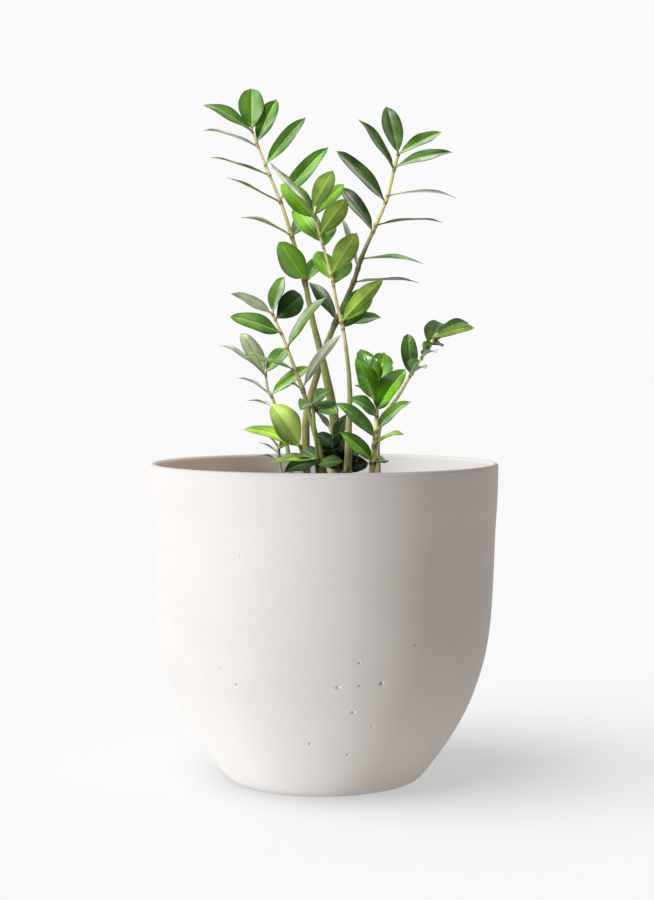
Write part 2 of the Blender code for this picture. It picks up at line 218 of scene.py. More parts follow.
# Linear colours of a stem at the soil, halfway and at the top, and of its marks.
STEM_TONES = {
    "stem_left": ((0.32, 0.34, 0.1), (0.42, 0.43, 0.15), (0.76, 0.67, 0.31), (0.16, 0.1, 0.04)),
    "stem_right": ((0.33, 0.32, 0.12), (0.09, 0.08, 0.03), (0.65, 0.59, 0.25), (0.09, 0.06, 0.025)),
    "stem_centre": ((0.4, 0.42, 0.17), (0.73, 0.64, 0.31), (0.82, 0.73, 0.38), (0.22, 0.12, 0.06)),
    "stem_side": ((0.33, 0.36, 0.11), (0.41, 0.43, 0.14), (0.59, 0.54, 0.24), (0.15, 0.09, 0.04)),
    "shoot_back_left": ((0.31, 0.39, 0.18), (0.37, 0.43, 0.2), (0.44, 0.5, 0.27), (0.18, 0.14, 0.08)),
    "shoot_front_left": ((0.42, 0.54, 0.14), (0.53, 0.7, 0.19), (0.67, 0.82, 0.28), (0.18, 0.14, 0.06)),
    "shoot_far_left": ((0.45, 0.45, 0.22), (0.51, 0.51, 0.26), (0.56, 0.62, 0.33), (0.16, 0.12, 0.07)),
    "shoot_front_right": ((0.81, 0.78, 0.35), (0.74, 0.71, 0.27), (0.65, 0.64, 0.24), (0.12, 0.06, 0.025)),
    "shoot_right_curved": ((0.41, 0.35, 0.15), (0.6, 0.6, 0.28), (0.74, 0.82, 0.42), (0.16, 0.09, 0.05)),
    "shoot_front_centre": ((0.22, 0.27, 0.09), (0.23, 0.3, 0.09), (0.29, 0.38, 0.11), (0.1, 0.07, 0.03)),
    # shoot_middle: its stalk is painted very dark, painted shade among the crowded stems, like its leaves.
    "shoot_middle": ((0.052, 0.057, 0.02), (0.062, 0.08, 0.031), (0.083, 0.114, 0.041), (0.04, 0.03, 0.015)),
}
# A plain blade. tone: the group's own unless given; show: side turned to the front; shade: lighter
# or darker, partly the blade's own tone and partly painted light and shade; painted_half_light:
# painted light and shade, upper half painted lighter (negative: darker); painted_sheen: a painted
# sheen, pale reflection painted on the upper half (negative: on the lower half); width, arch:
# scales; widest: share of length; base, tip: smaller is blunter; fold: rise of its halves; wave:
# edge ripple in mm; roll: turn about its length and twist: turn along it, in degrees; nudge: mm
# added to the tip; curl: droop of the tip.
PLAIN_BLADE = {
    "tone": None, "show": None, "shade": 0.0, "painted_half_light": 0.0, "painted_sheen": 0.0, "width": 0.93,
    "widest": 0.50, "base": 0.70, "tip": 0.80, "fold": 0.24, "wave": 0.7, "arch": 1.0,
    "roll": 0.0, "nudge": (0, 0, 0), "twist": 6.0, "curl": 0.03,
}
# What sets single blades apart, by their number in a group.
BLADE_LOOKS = {
    "leaf_left": {
        1: dict(shade=-0.24, painted_half_light=-0.3, painted_sheen=-0.15, fold=0.3),
        2: dict(shade=-0.05, painted_half_light=-0.1, painted_sheen=-0.25, width=1.06, widest=0.53, tip=0.55),
        3: dict(shade=-0.1, painted_half_light=-0.5, width=0.9, tip=0.7, fold=0.36),
        4: dict(shade=0.08, painted_half_light=-0.2, painted_sheen=-0.3, width=0.8, fold=0.32),
        5: dict(painted_half_light=-0.3, painted_sheen=-0.25, width=0.84, fold=0.36),
        6: dict(tone="silver", shade=0.1, painted_half_light=0.3, arch=0.6),
        7: dict(tone="olive", shade=-0.2, width=0.5, arch=0.2),
        8: dict(tone="olive", shade=-0.2, width=0.5, arch=0.2),
        9: dict(tone="olive", shade=0.1, painted_sheen=0.7, arch=0.55),
        10: dict(shade=0.2, painted_sheen=0.5),
        11: dict(
            tone="bright", shade=0.08, painted_sheen=-0.3, width=1.0, widest=0.47, base=0.75, tip=0.5, fold=0.1,
        ),
        12: dict(shade=0.35, painted_sheen=-0.4),
        13: dict(tone="dark", painted_sheen=-0.3),
    },
    "leaf_right": {
        1: dict(tone="deep", shade=-0.3, painted_half_light=-0.1, painted_sheen=0.3, width=0.9, tip=0.75, fold=0.32),
        2: dict(tone="fresh", shade=0.05, painted_half_light=-0.2, painted_sheen=-0.85, width=0.85, fold=0.3),
        3: dict(tone="deep", shade=-0.2, painted_half_light=-0.1, painted_sheen=-0.9, width=0.82, fold=0.34),
        4: dict(shade=0.1, painted_half_light=0.2, painted_sheen=-0.65, width=0.85, fold=0.34),
        5: dict(painted_half_light=0.15, painted_sheen=-0.8, width=0.82, tip=0.62, fold=0.32),
        6: dict(painted_sheen=-0.75, width=0.9, tip=0.62, fold=0.32),
        7: dict(tone="silver", shade=0.1, arch=0.7),
        8: dict(tone="deep", width=0.7, arch=0.6),
        9: dict(tone="deep", shade=0.3, painted_sheen=-0.7, arch=0.35),
        10: dict(tone="deep", painted_sheen=-0.6, arch=0.45),
        11: dict(tone="silver", width=0.45),
        12: dict(tone="deep", shade=0.22, painted_sheen=-0.5),
        13: dict(shade=0.3, painted_sheen=0.7),
    },
    "leaf_centre": {
        1: dict(shade=0.18, painted_half_light=-0.1, painted_sheen=-0.35, width=0.86, tip=0.78),
        2: dict(tone="silver", show="upper", shade=0.15, painted_half_light=-0.5, width=0.55, nudge=(0, -16, 0)),
        3: dict(tone="bright", shade=-0.15),
        4: dict(tone="bright", show="upper", shade=0.55, tip=0.6, nudge=(-1, 18, 0)),
        5: dict(shade=0.25, painted_half_light=0.05, width=0.86, tip=0.82),
        6: dict(tone="bright", show="upper", shade=-0.2),
        7: dict(shade=0.21, painted_half_light=-0.1, width=0.88),
        8: dict(tone="bright", show="upper", shade=0.2),
        9: dict(tone="bright", shade=0.15),
        10: dict(tone="bright", shade=0.3),
        11: dict(shade=0.3, painted_half_light=0.15, painted_sheen=0.2, width=0.9, fold=0.3),
        12: dict(tone="bright", show="upper", shade=0.15),
        13: dict(tone="fresh", shade=0.15),
    },
    "leaf_side": {
        1: dict(tone="fresh", shade=-0.15, painted_sheen=-0.75, fold=0.32),
        2: dict(tone="dark", shade=0.25, painted_half_light=-0.3, width=1.04, widest=0.55, tip=0.36, fold=0.08),
        3: dict(tone="pale", painted_half_light=-0.4, width=0.82, tip=0.85, fold=0.3),
        4: dict(shade=0.45, painted_sheen=0.2, width=0.9, tip=0.6, wave=1.1),
        5: dict(tone="fresh", shade=-0.1, painted_sheen=0.9, width=0.85, fold=0.4),
        6: dict(tone="olive", painted_sheen=0.5, arch=0.6),
        7: dict(tone="silver", shade=0.3, painted_half_light=0.3, width=0.86, fold=0.3),
    },
    "shoot_back_left": {
        1: dict(tone="pale", shade=0.17, width=0.92, tip=0.55),
        2: dict(tone="silver", shade=-0.1),
        3: dict(tone="fresh", shade=0.35, painted_sheen=-0.5),
        4: dict(tone="silver", width=0.7),
        5: dict(tone="bright", shade=-0.15, painted_sheen=-0.6),
        6: dict(tone="silver", width=0.7),
    },
    "shoot_front_left": {
        1: dict(show="upper", shade=0.6, painted_half_light=0.35, tip=0.6, fold=0.0, roll=18.0),
        2: dict(tone="olive", shade=0.45, painted_half_light=-0.1),
    },
    "shoot_far_left": {
        1: dict(tone="pale", width=0.7),
        2: dict(tone="silver", shade=0.2, width=0.7),
        3: dict(tone="pale", shade=0.5, width=0.6),
        4: dict(tone="fresh", shade=-0.2),
    },
    "shoot_front_right": {
        1: dict(shade=-0.2, painted_half_light=-0.2, tip=0.55, fold=0.5, wave=1.6),
        2: dict(shade=0.32, painted_half_light=-0.25, tip=0.65, fold=0.5, wave=1.6),
        3: dict(shade=0.1, painted_half_light=0.2, tip=0.5, fold=0.45, wave=2.0),
        4: dict(shade=0.18, painted_half_light=-0.4, tip=0.55, fold=0.5, wave=2.0),
        5: dict(tone="fresh", shade=0.15, painted_sheen=-0.6, fold=0.36),
        6: dict(tone="olive", shade=0.1),
        7: dict(tone="deep", shade=0.8, painted_half_light=-0.2, fold=0.36),
        8: dict(tone="deep", shade=0.8, painted_sheen=-0.2, fold=0.36),
        9: dict(tone="fresh", shade=0.6, painted_half_light=-0.35, fold=0.36),
        10: dict(tone="deep", painted_sheen=-0.2),
        11: dict(tone="pale", width=0.7),
    },
    "shoot_right_curved": {
        1: dict(show="upper", painted_sheen=-0.12, tip=0.5),
        2: dict(tone="fresh", shade=0.25, painted_sheen=0.2, tip=0.5),
        3: dict(tone="silver", shade=0.6, width=1.4),
        4: dict(tone="fresh", shade=0.6, painted_sheen=0.3, width=1.2, tip=0.5),
        5: dict(tone="silver", shade=0.3, width=1.4),
        6: dict(shade=-0.45, width=1.15, tip=0.55),
        7: dict(shade=-0.35, tip=0.6),
        8: dict(tone="olive", shade=-0.35, painted_sheen=0.15, tip=0.6, wave=0.2),
    },
    "shoot_front_centre": {
        1: dict(tone="deep", shade=0.1),
        2: dict(tone="deep", shade=-0.05),
        3: dict(tone="deep", shade=-0.1, tip=0.5),
        4: dict(tone="pale", width=0.8),
        5: dict(tone="olive", shade=0.55, painted_sheen=0.4),
        6: dict(tone="dark", shade=-0.2),
        7: dict(tone="dark"),
        8: dict(tone="deep", shade=-0.3, tip=0.6),
    },
    "shoot_middle": {
        2: dict(width=1.3),
        5: dict(width=1.2),
        6: dict(width=1.2),
    },
}


# ---------------------------------------------------------------- small helpers
def finish_piece(obj, slot, *nodes):
    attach(obj, "root")
    if nodes:
        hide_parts(*nodes)


def add_object(name, data):
    obj = bpy.data.objects.new(name, data)
    bpy.context.scene.collection.objects.link(obj)
    return obj


def add_mesh(name, verts, faces, materials):
    mesh = bpy.data.meshes.new(name)
    mesh.from_pydata([tuple(v) for v in verts], [], faces)
    for material in materials:
        mesh.materials.append(material)
    mesh.shade_smooth()
    return add_object(name, mesh)


def add_bmesh(name, built):
    """The object of a finished bmesh, which is freed."""
    mesh = bpy.data.meshes.new(name)
    built.to_mesh(mesh)
    built.free()
    return add_object(name, mesh)


def lumpy_ball(built, centre, radii, roughness, pitch, offset):
    """Adds a small uneven ball to a bmesh."""
    ball = bmesh.ops.create_icosphere(built, subdivisions=2, radius=1.0)
    for vert in ball["verts"]:
        lump = 1.0 + roughness * noise.noise(vert.co * pitch + offset)
        vert.co = centre + vert.co * radii * lump


def smooth_curve(points, steps):
    """Points on a Catmull-Rom curve through the given ones."""
    knots = [Vector(p) for p in points]
    knots = [2 * knots[0] - knots[1]] + knots + [2 * knots[-1] - knots[-2]]
    curve = []
    for a, b, c, d in zip(knots, knots[1:], knots[2:], knots[3:]):
        for step in range(steps):
            t = step / steps
            curve.append(
                0.5 * (2 * b + (c - a) * t + (2 * a - 5 * b + 4 * c - d) * t * t
                       + (3 * b - a - 3 * c + d) * t ** 3)
            )
    curve.append(knots[-2])
    return curve


class Stalk:
    """A stem's centreline with its radius, read by distance along it."""

    def __init__(self, points, radii):
        self.points = [Vector(p) for p in points]
        self.radii = list(radii)
        self.at = [0.0]
        for a, b in zip(self.points, self.points[1:]):
            self.at.append(self.at[-1] + (b - a).length)

    @property
    def length(self):
        return self.at[-1]

    def place(self, distance):
        """Point, upward direction and radius at a distance from the first point."""
        distance = min(max(distance, 0.0), self.length)
        index = int(np.searchsorted(self.at, distance, side="right")) - 1
        index = min(index, len(self.points) - 2)
        step = self.points[index + 1] - self.points[index]
        t = (distance - self.at[index]) / step.length
        radius = self.radii[index] * (1 - t) + self.radii[index + 1] * t
        return self.points[index] + step * t, step.normalized(), radius

    def nearest(self, point):
        """Distance along the stalk of its closest point to the given one."""
        best, found = 1e9, 0.0
        for index, (a, b) in enumerate(zip(self.points, self.points[1:])):
            step = b - a
            t = min(max((point - a).dot(step) / step.length_squared, 0.0), 1.0)
            gap = (a + step * t - point).length
            if gap < best:
                best, found = gap, self.at[index] + step.length * t
        return found


# ---------------------------------------------------------------- material nodes
class Nodes:
    """Short ways to add and join shader nodes."""

    def __init__(self, name):
        self.material = bpy.data.materials.new(name)
        self.material.use_nodes = True
        self.tree = self.material.node_tree
        self.shader = self.tree.nodes["Principled BSDF"]

    def add(self, kind, **settings):
        node = self.tree.nodes.new(kind)
        for key, value in settings.items():
            setattr(node, key, value)
        return node

    def set(self, socket, value):
        if isinstance(value, bpy.types.NodeSocket):
            self.tree.links.new(value, socket)
        elif isinstance(value, tuple) and len(value) == 3 and socket.type == "RGBA":
            socket.default_value = (*value, 1.0)
        else:
            socket.default_value = value

    def math(self, operation, a, b=0.0, clamp=False):
        node = self.add("ShaderNodeMath", operation=operation, use_clamp=clamp)
        self.set(node.inputs[0], a)
        self.set(node.inputs[1], b)
        return node.outputs[0]

    def times(self, a, b, clamp=False):
        return self.math("MULTIPLY", a, b, clamp)

    def span(self, value, low, high, to_low=0.0, to_high=1.0):
        """Maps value from low..high to to_low..to_high, smoothly and clamped."""
        node = self.add("ShaderNodeMapRange", clamp=True, interpolation_type="SMOOTHSTEP")
        for socket, number in zip(node.inputs, (value, low, high, to_low, to_high)):
            self.set(socket, number)
        return node.outputs[0]

    def mix(self, factor, a, b):
        node = self.add("ShaderNodeMix", data_type="RGBA")
        self.set(node.inputs[0], factor)
        self.set(node.inputs[6], a)
        self.set(node.inputs[7], b)
        return node.outputs[2]

    def noise(self, vector, scale, detail=2.0, roughness=0.5):
        node = self.add("ShaderNodeTexNoise")
        self.set(node.inputs["Vector"], vector)
        node.inputs["Scale"].default_value = scale
        node.inputs["Detail"].default_value = detail
        node.inputs["Roughness"].default_value = roughness
        return node.outputs["Fac"]

    def place(self):
        return self.add("ShaderNodeTexCoord").outputs["Object"]

    def stretched(self, vector, scale):
        node = self.add("ShaderNodeMapping")
        self.set(node.inputs["Vector"], vector)
        node.inputs["Scale"].default_value = scale
        return node.outputs[0]

    def attribute(self, name):
        return self.add("ShaderNodeAttribute", attribute_name=name).outputs["Fac"]

    def uv(self, name):
        return self.add("ShaderNodeUVMap", uv_map=name).outputs[0]

    def parts(self, vector):
        """The x, y and z of a vector."""
        node = self.add("ShaderNodeSeparateXYZ")
        self.set(node.inputs[0], vector)
        return node.outputs

    def bump(self, height, distance, strength):
        node = self.add("ShaderNodeBump")
        node.inputs["Strength"].default_value = strength
        node.inputs["Distance"].default_value = distance
        self.set(node.inputs["Height"], height)
        return node.outputs[0]

    def surface(self, colour, roughness, normal=None, specular=0.5, coat=0.0):
        self.set(self.shader.inputs["Base Color"], colour)
        self.set(self.shader.inputs["Roughness"], roughness)
        self.shader.inputs["Specular IOR Level"].default_value = specular
        self.shader.inputs["Coat Weight"].default_value = coat
        if normal is not None:
            self.set(self.shader.inputs["Normal"], normal)
        return self.material


def darker(colour, share):
    return tuple(share * c for c in colour)


def leaf_material(name, tone, upper):
    """Waxy blade: pale midrib, side veins that sweep towards the tip, two mottled greens, painted light on
    one half and a painted sheen.
    """
    n = Nodes(name)
    main, second, under, rib, roughness = tone
    size = n.parts(n.uv("size"))
    share = n.parts(n.uv("share"))
    aside = n.math("ABSOLUTE", n.math("SUBTRACT", size[0], 0.5))
    across = n.math("SUBTRACT", n.times(share[0], 2.0), 1.0)
    edge_share = n.math("ABSOLUTE", across)
    where = n.place()
    tint = n.attribute("tint")
    painted_half_light = n.attribute("painted_half_light")
    painted_sheen = n.attribute("painted_sheen")

    blotch = n.noise(where, 80.0, 1.5, 0.5)
    cloud = n.noise(where, 34.0, 2.0, 0.5)
    wander = n.times(n.noise(where, 160.0, 1.0), 0.02)
    sweep = n.math("SUBTRACT", size[1], n.times(aside, VEIN_SWEEP))
    sweep = n.math("ADD", sweep, wander)
    wave = n.math("SINE", n.times(sweep, math.tau / VEIN_PITCH))
    vein = n.times(n.span(wave, 0.82, 1.0), n.span(edge_share, 1.0, 0.75))
    midrib = n.span(aside, 0.003, 0.0085, 1.0, 0.0)
    midrib = n.times(midrib, n.span(share[1], 0.97, 0.80, 0.1, 1.0))
    margin = n.span(edge_share, 0.93, 1.0)

    grain = n.stretched(n.uv("size"), (55.0, 4.0, 1.0))
    streak = n.span(n.noise(grain, 1.0, 2.0, 0.6), 0.38, 0.62)
    patch = n.span(blotch, 0.35, 0.68)
    if upper:
        mottle = n.math("ADD", n.times(patch, 0.6), n.times(streak, 0.4))
        colour = n.mix(mottle, main, second)
        colour = n.mix(n.times(vein, 0.16), colour, rib)
        colour = n.mix(n.times(midrib, 0.60), colour, rib)
        colour = n.mix(n.times(margin, 0.30), colour, rib)
        rough = n.span(cloud, 0.3, 0.7, roughness - 0.03, roughness + 0.06)
    else:
        colour = n.mix(patch, under, darker(under, 0.82))
        colour = n.mix(n.times(vein, 0.22), colour, darker(under, 0.66))
        colour = n.mix(n.times(midrib, 0.6), colour, rib)
        rough = n.span(cloud, 0.3, 0.7, roughness + 0.08, roughness + 0.18)
    # Painted light and shade: one half of a folded blade is painted lighter than the other, and its edges
    # are darker.
    side = n.span(across, -0.10, 0.10, -1.0, 1.0)
    lift = n.times(side, painted_half_light)
    light = n.math("ADD", n.times(tint, 0.9), 0.55)
    light = n.times(light, n.math("ADD", n.times(lift, 0.75), 1.0))
    light = n.times(light, n.span(edge_share, 0.45, 0.95, 1.12, 0.68))
    shaded = n.add("ShaderNodeHueSaturation")
    n.set(shaded.inputs["Value"], n.times(light, n.span(cloud, 0.32, 0.68, 0.62, 1.40)))
    n.set(shaded.inputs["Color"], colour)
    # The painted sheen, standing for reflected light, lies in streaks along one half.
    which = n.span(n.times(across, painted_sheen), 0.02, 0.30)
    body = n.times(which, n.span(edge_share, 0.98, 0.72))
    amount = n.times(n.times(body, n.math("ABSOLUTE", painted_sheen)), 1.15)
    amount = n.times(amount, n.span(streak, 0.0, 1.0, 0.45, 1.0), clamp=True)
    colour = n.mix(amount, shaded.outputs[0], PAINTED_SHEEN)
    relief = n.times(vein, -0.10 if upper else 0.25)
    relief = n.math("ADD", relief, n.times(cloud, 1.6))
    normal = n.bump(relief, 0.30 * MM, 0.5)
    if roughness < GLOSSY_BELOW:
        return n.surface(colour, rough, normal, specular=0.34, coat=0.7)
    return n.surface(colour, rough, normal, specular=0.22)


def stem_material(name, tones):
    """Firm green-to-cream stalk: dark scars at the leaf joints, fine fibres, brown flecks."""
    n = Nodes(name)
    low, middle, high, mark = tones
    where = n.place()
    fibre = n.noise(n.stretched(where, (1.0, 1.0, 0.10)), 900.0, 3.0, 0.6)
    blotch = n.noise(n.stretched(where, (1.0, 1.0, 0.45)), 150.0, 4.0, 0.62)
    fleck = n.noise(n.stretched(where, (1.0, 1.0, 0.5)), 520.0, 3.0, 0.6)
    height = n.attribute("height")
    scar = n.attribute("scar")
    colour = n.mix(n.span(height, 0.45, 0.56), low, middle)
    colour = n.mix(n.span(height, 0.68, 0.82), colour, high)
    colour = n.mix(n.span(blotch, 0.48, 0.72, 0.0, 0.45), colour, mark)
    colour = n.mix(n.span(fleck, 0.60, 0.72, 0.0, 0.65), colour, mark)
    colour = n.mix(n.span(fibre, 0.35, 0.75, 0.0, 0.22), colour, darker(low, 0.55))
    colour = n.mix(n.times(scar, 0.95, clamp=True), colour, mark)
    relief = n.math("ADD", n.times(fibre, 0.5), n.times(blotch, 0.6))
    normal = n.bump(relief, 0.5 * MM, 0.6)
    return n.surface(colour, n.span(blotch, 0.3, 0.7, 0.42, 0.6), normal, specular=0.4)


def clay_material(name):
    """Matte cast fibre-clay: faint rings from the mould, soft blotches and fine grain."""
    n = Nodes(name)
    where = n.place()
    cloud = n.noise(where, 9.0, 4.0, 0.55)
    rings = n.noise(n.stretched(where, (0.012, 0.012, 1.0)), 420.0, 3.0, 0.65)
    bands = n.noise(n.stretched(where, (0.02, 0.02, 1.0)), 70.0, 2.0, 0.5)
    grain = n.noise(where, 1500.0, 3.0, 0.6)
    speck = n.noise(where, 620.0, 1.0, 0.4)
    base = n.mix(n.span(cloud, 0.35, 0.65), (0.570, 0.506, 0.462), (0.595, 0.531, 0.488))
    base = n.mix(n.span(rings, 0.35, 0.70, 0.0, 0.16), base, (0.530, 0.470, 0.425))
    base = n.mix(n.span(bands, 0.40, 0.65, 0.0, 0.10), base, (0.640, 0.580, 0.540))
    base = n.mix(n.span(speck, 0.74, 0.80, 0.0, 0.35), base, (0.250, 0.220, 0.195))
    # Painted light: the clay is painted paler towards its foot, standing for light bounced up from the
    # floor.
    base = n.mix(n.span(n.parts(where)[2], 0.10, 0.0, 0.0, 0.36), base, (0.840, 0.780, 0.735))
    relief = n.math("ADD", n.times(rings, 0.8), n.times(grain, 0.45))
    normal = n.bump(relief, 0.22 * MM, 0.6)
    return n.surface(base, n.span(grain, 0.3, 0.7, 0.72, 0.88), normal, specular=0.3)


def soil_material(name):
    """Moist peat with paler fibres."""
    n = Nodes(name)
    where = n.place()
    lumps = n.noise(where, 190.0, 5.0, 0.65)
    grit = n.noise(where, 900.0, 3.0, 0.6)
    colour = n.mix(n.span(lumps, 0.35, 0.65), (0.020, 0.011, 0.007), (0.070, 0.040, 0.022))
    colour = n.mix(n.span(grit, 0.62, 0.74, 0.0, 0.6), colour, (0.160, 0.110, 0.065))
    relief = n.math("ADD", lumps, n.times(grit, 0.5))
    return n.surface(colour, 0.92, n.bump(relief, 1.2 * MM, 0.8), specular=0.25)


# ---------------------------------------------------------------- leaves
ACROSS = (-1.0, -0.985, -0.93, -0.80, -0.62, -0.42, -0.24, -0.12, -0.05,
          0.0, 0.05, 0.12, 0.24, 0.42, 0.62, 0.80, 0.93, 0.985, 1.0)
ALONG_STEPS = 34
STALK_HALF = 0.9 * MM
BLADE_THICKNESS = 0.9 * MM
GROOVE_DEPTH = 0.35 * MM
RIB_DEPTH = 0.55 * MM
RIB_WIDTH = 0.8 * MM
# Shares of a leaflet's length: its bare stalk, the flare at its foot and its drawn-out point.
BARE_SHARE = 0.045
FLARE_SHARE = 0.16
POINT_SHARE = 0.08
# A solid's middle rises by its arch and by its folded halves, which count by their width.
ARCH_OF_RISE = 1.35
FOLD_RISE = 0.035
# A leaflet starts inside its stem, at this share of the stem's radius.
ROOT_REACH = 0.35
RIPPLES = 1.6
RIPPLE_LAG = 1.2
TINT_MIDDLE = 0.5
TINT_SPREAD = 0.07
MOST_TINT = 1.4

LEAF_MATERIALS = {
    tone: [leaf_material(f"leaf_{tone}_{side}", colours, side == "upper") for side in ("upper", "under")]
    for tone, colours in LEAF_TONES.items()
}


def outline(share, look):
    """Half width of a blade as a share of its largest, from its stalk to its tip."""
    if share <= BARE_SHARE:
        return 0.0
    s = (share - BARE_SHARE) / (1.0 - BARE_SHARE)
    s = s ** (math.log(0.5) / math.log(look["widest"]))
    point = min((1.0 - share) / POINT_SHARE, 1.0) ** 0.3
    return point * math.sin(math.pi * s) ** (look["base"] * (1.0 - s) + look["tip"] * s)


def blade_mesh(name, root, tip, normal, width, arch, look, materials, seed):
    """One closed leaflet with its short stalk, from root to tip, upper side towards normal."""
    rng = random.Random(seed)
    length = (tip - root).length
    along = (tip - root).normalized()
    normal = (normal - normal.dot(along) * along).normalized()
    across = along.cross(normal)
    phase = rng.uniform(0, math.tau)
    uneven = rng.uniform(-0.06, 0.06)
    twist = math.radians(look["twist"]) * rng.choice((-1, 1))
    tint = min(max(rng.gauss(TINT_MIDDLE, TINT_SPREAD) + look["shade"], 0.0), MOST_TINT)
    # Which half of the blade is the upper one as it stands.
    beside = Vector((-along.z, 0.0, along.x)) * (-1.0 if along.x < -0.25 else 1.0)
    upper_half = 1.0 if across.dot(beside) > 0 else -1.0

    rows = []
    for step in range(ALONG_STEPS + 1):
        v = step / ALONG_STEPS
        v -= 0.10 * math.sin(math.tau * v) / math.tau
        slope = 4.0 * arch * (1.0 - 2.0 * v)
        ahead = (along + normal * slope).normalized()
        up = (normal - normal.dot(ahead) * ahead).normalized()
        turn = twist * (v - 0.35)
        up_v = up * math.cos(turn) + across * math.sin(turn)
        across_v = ahead.cross(up_v)
        if across_v.dot(across) < 0:
            across_v.negate()
        droop = look["curl"] * length * max(0.0, v - 0.72) ** 2 / 0.0784
        centre = root + along * (length * v) + normal * (4.0 * arch * length * v * (1.0 - v) - droop)
        half = 0.5 * width * outline(v, look)
        stalk = STALK_HALF * (1.0 - min(v / FLARE_SHARE, 1.0) ** 2)
        half = max(half, stalk, 0.12 * MM)
        thick = BLADE_THICKNESS * (0.55 + 0.45 * math.sin(math.pi * min(v + 0.1, 1.0)))
        thick = max(thick, 1.7 * stalk)
        flat = min(half / (0.25 * width), 1.0)
        rows.append((v, centre, up_v, across_v, half, thick, flat))

    verts, uvs, tops, bottoms = [], [], [], []

    def put(point, u, v, half):
        verts.append(point)
        uvs.append(((0.5 + u * half * 10.0, v * length * 10.0), (0.5 + 0.5 * u, v)))
        return len(verts) - 1

    for v, centre, up, side, half, thick, flat in rows:
        top, bottom = [], []
        rise = look["wave"] * MM * flat
        beat = math.tau * RIPPLES * v + phase
        for u in ACROSS:
            x = u * half * (1.0 + uneven * u)
            lift = look["fold"] * abs(x) * flat - 0.10 * look["fold"] * x * x / (0.5 * width) * flat
            ripple = rise * u * u * math.sin(beat + (RIPPLE_LAG if u > 0 else 0.0))
            body = 0.5 * thick * math.sqrt(max(1.0 - u ** 6, 0.0))
            core = math.exp(-((x / RIB_WIDTH) ** 2)) * flat
            middle = centre + side * x + up * (lift + ripple)
            at_edge = abs(u) == 1.0
            top.append(put(middle + up * (0.0 if at_edge else body - GROOVE_DEPTH * core), u, v, half))
            if at_edge:
                bottom.append(top[-1])
            else:
                bottom.append(put(middle - up * (body + RIB_DEPTH * core * (1.0 - 0.7 * v)), u, v, half))
        tops.append(top)
        bottoms.append(bottom)

    faces, sides = [], []
    for low, high in zip(range(ALONG_STEPS), range(1, ALONG_STEPS + 1)):
        for c in range(len(ACROSS) - 1):
            faces.append((tops[low][c], tops[low][c + 1], tops[high][c + 1], tops[high][c]))
            sides.append(0)
            faces.append((bottoms[low][c], bottoms[high][c], bottoms[high][c + 1], bottoms[low][c + 1]))
            sides.append(1)
    faces.append(tuple(tops[0][::-1]) + tuple(bottoms[0][1:-1]))
    sides.append(1)
    faces.append(tuple(tops[-1]) + tuple(bottoms[-1][1:-1][::-1]))
    sides.append(1)

    obj = add_mesh(name, verts, faces, materials)
    mesh = obj.data
    mesh.polygons.foreach_set("material_index", sides)
    size_map = mesh.uv_layers.new(name="size")
    share_map = mesh.uv_layers.new(name="share")
    for loop in mesh.loops:
        size_map.data[loop.index].uv, share_map.data[loop.index].uv = uvs[loop.vertex_index]
    marks = {"tint": tint, "painted_half_light": upper_half * look["painted_half_light"], "painted_sheen": upper_half * look["painted_sheen"]}
    for mark, amount in marks.items():
        mesh.attributes.new(mark, "FLOAT", "POINT").data.foreach_set("value", [amount] * len(verts))
    fix = bmesh.new()
    fix.from_mesh(mesh)
    bmesh.ops.recalc_face_normals(fix, faces=fix.faces)
    fix.to_mesh(mesh)
    fix.free()
    return obj


def measured_leaflet(node, stalk):
    """Tip, upper side, width and arch of a CAD leaflet, and how far along its stem it grows."""
    points = np.array([v.co for v in frame["nodes"][node].data.vertices], float)
    points = np.unique(np.round(points, 6), axis=0)
    gaps = np.linalg.norm(points[:, None] - points[None], axis=2)
    a, b = np.unravel_index(int(np.argmax(gaps)), gaps.shape)
    ends = sorted((Vector(points[a]), Vector(points[b])), key=lambda p: distance_to(stalk, p))
    base, tip = ends
    along = np.array((tip - base).normalized())
    spread = points - points.mean(axis=0)
    spread = spread - np.outer(spread @ along, along)
    _, _, axes = np.linalg.svd(spread, full_matrices=False)
    normal = np.cross(along, axes[0])
    middle = (np.array(base) + np.array(tip)) / 2
    rise = float((points.mean(axis=0) - middle) @ normal)
    if rise < 0:
        normal, rise = -normal, -rise
    width = float(np.ptp(spread @ axes[0]))
    length = (tip - base).length
    arch = max((ARCH_OF_RISE * rise - FOLD_RISE * width) / length, 0.0)
    return tip, Vector(normal), width, arch, stalk.nearest(base)


def distance_to(stalk, point):
    return (stalk.place(stalk.nearest(point))[0] - point).length


def designed_leaflet(stalk, row):
    """The same for a shoot's leaflet, from its design row."""
    share, reach, width, turn, arch = row
    distance = share * stalk.length
    centre, _, _ = stalk.place(distance)
    reach = Vector(reach) * MM
    along = reach.normalized()
    front = Vector((0, -1, 0))
    front = (front - front.dot(along) * along).normalized()
    side = along.cross(front)
    side = side if side.z >= 0 else -side
    angle = math.radians(turn)
    normal = math.cos(angle) * side + math.sin(angle) * front
    return centre + reach, normal, width * MM, arch, distance


# ---------------------------------------------------------------- stems
CAD_STEM_SIDES = 8
STALK_SIDES = 20
STALK_STEP = 1.6 * MM
JOINT_SWELL = 0.24
JOINT_LENGTH = 2.2 * MM
SCAR_BELOW = 0.9 * MM
SCAR_LENGTH = 1.1 * MM
FOOT_SWELL = 0.22
FOOT_LENGTH = 9 * MM
PLANTED_DEPTH = 10 * MM
# Tall stems are slimmer than their solids above this share of their length, by this much.
SLIM_FROM = 0.45
SLIM = {"stem_left": 0.24, "stem_right": 0.04, "stem_centre": 0.34, "stem_side": 0.15}


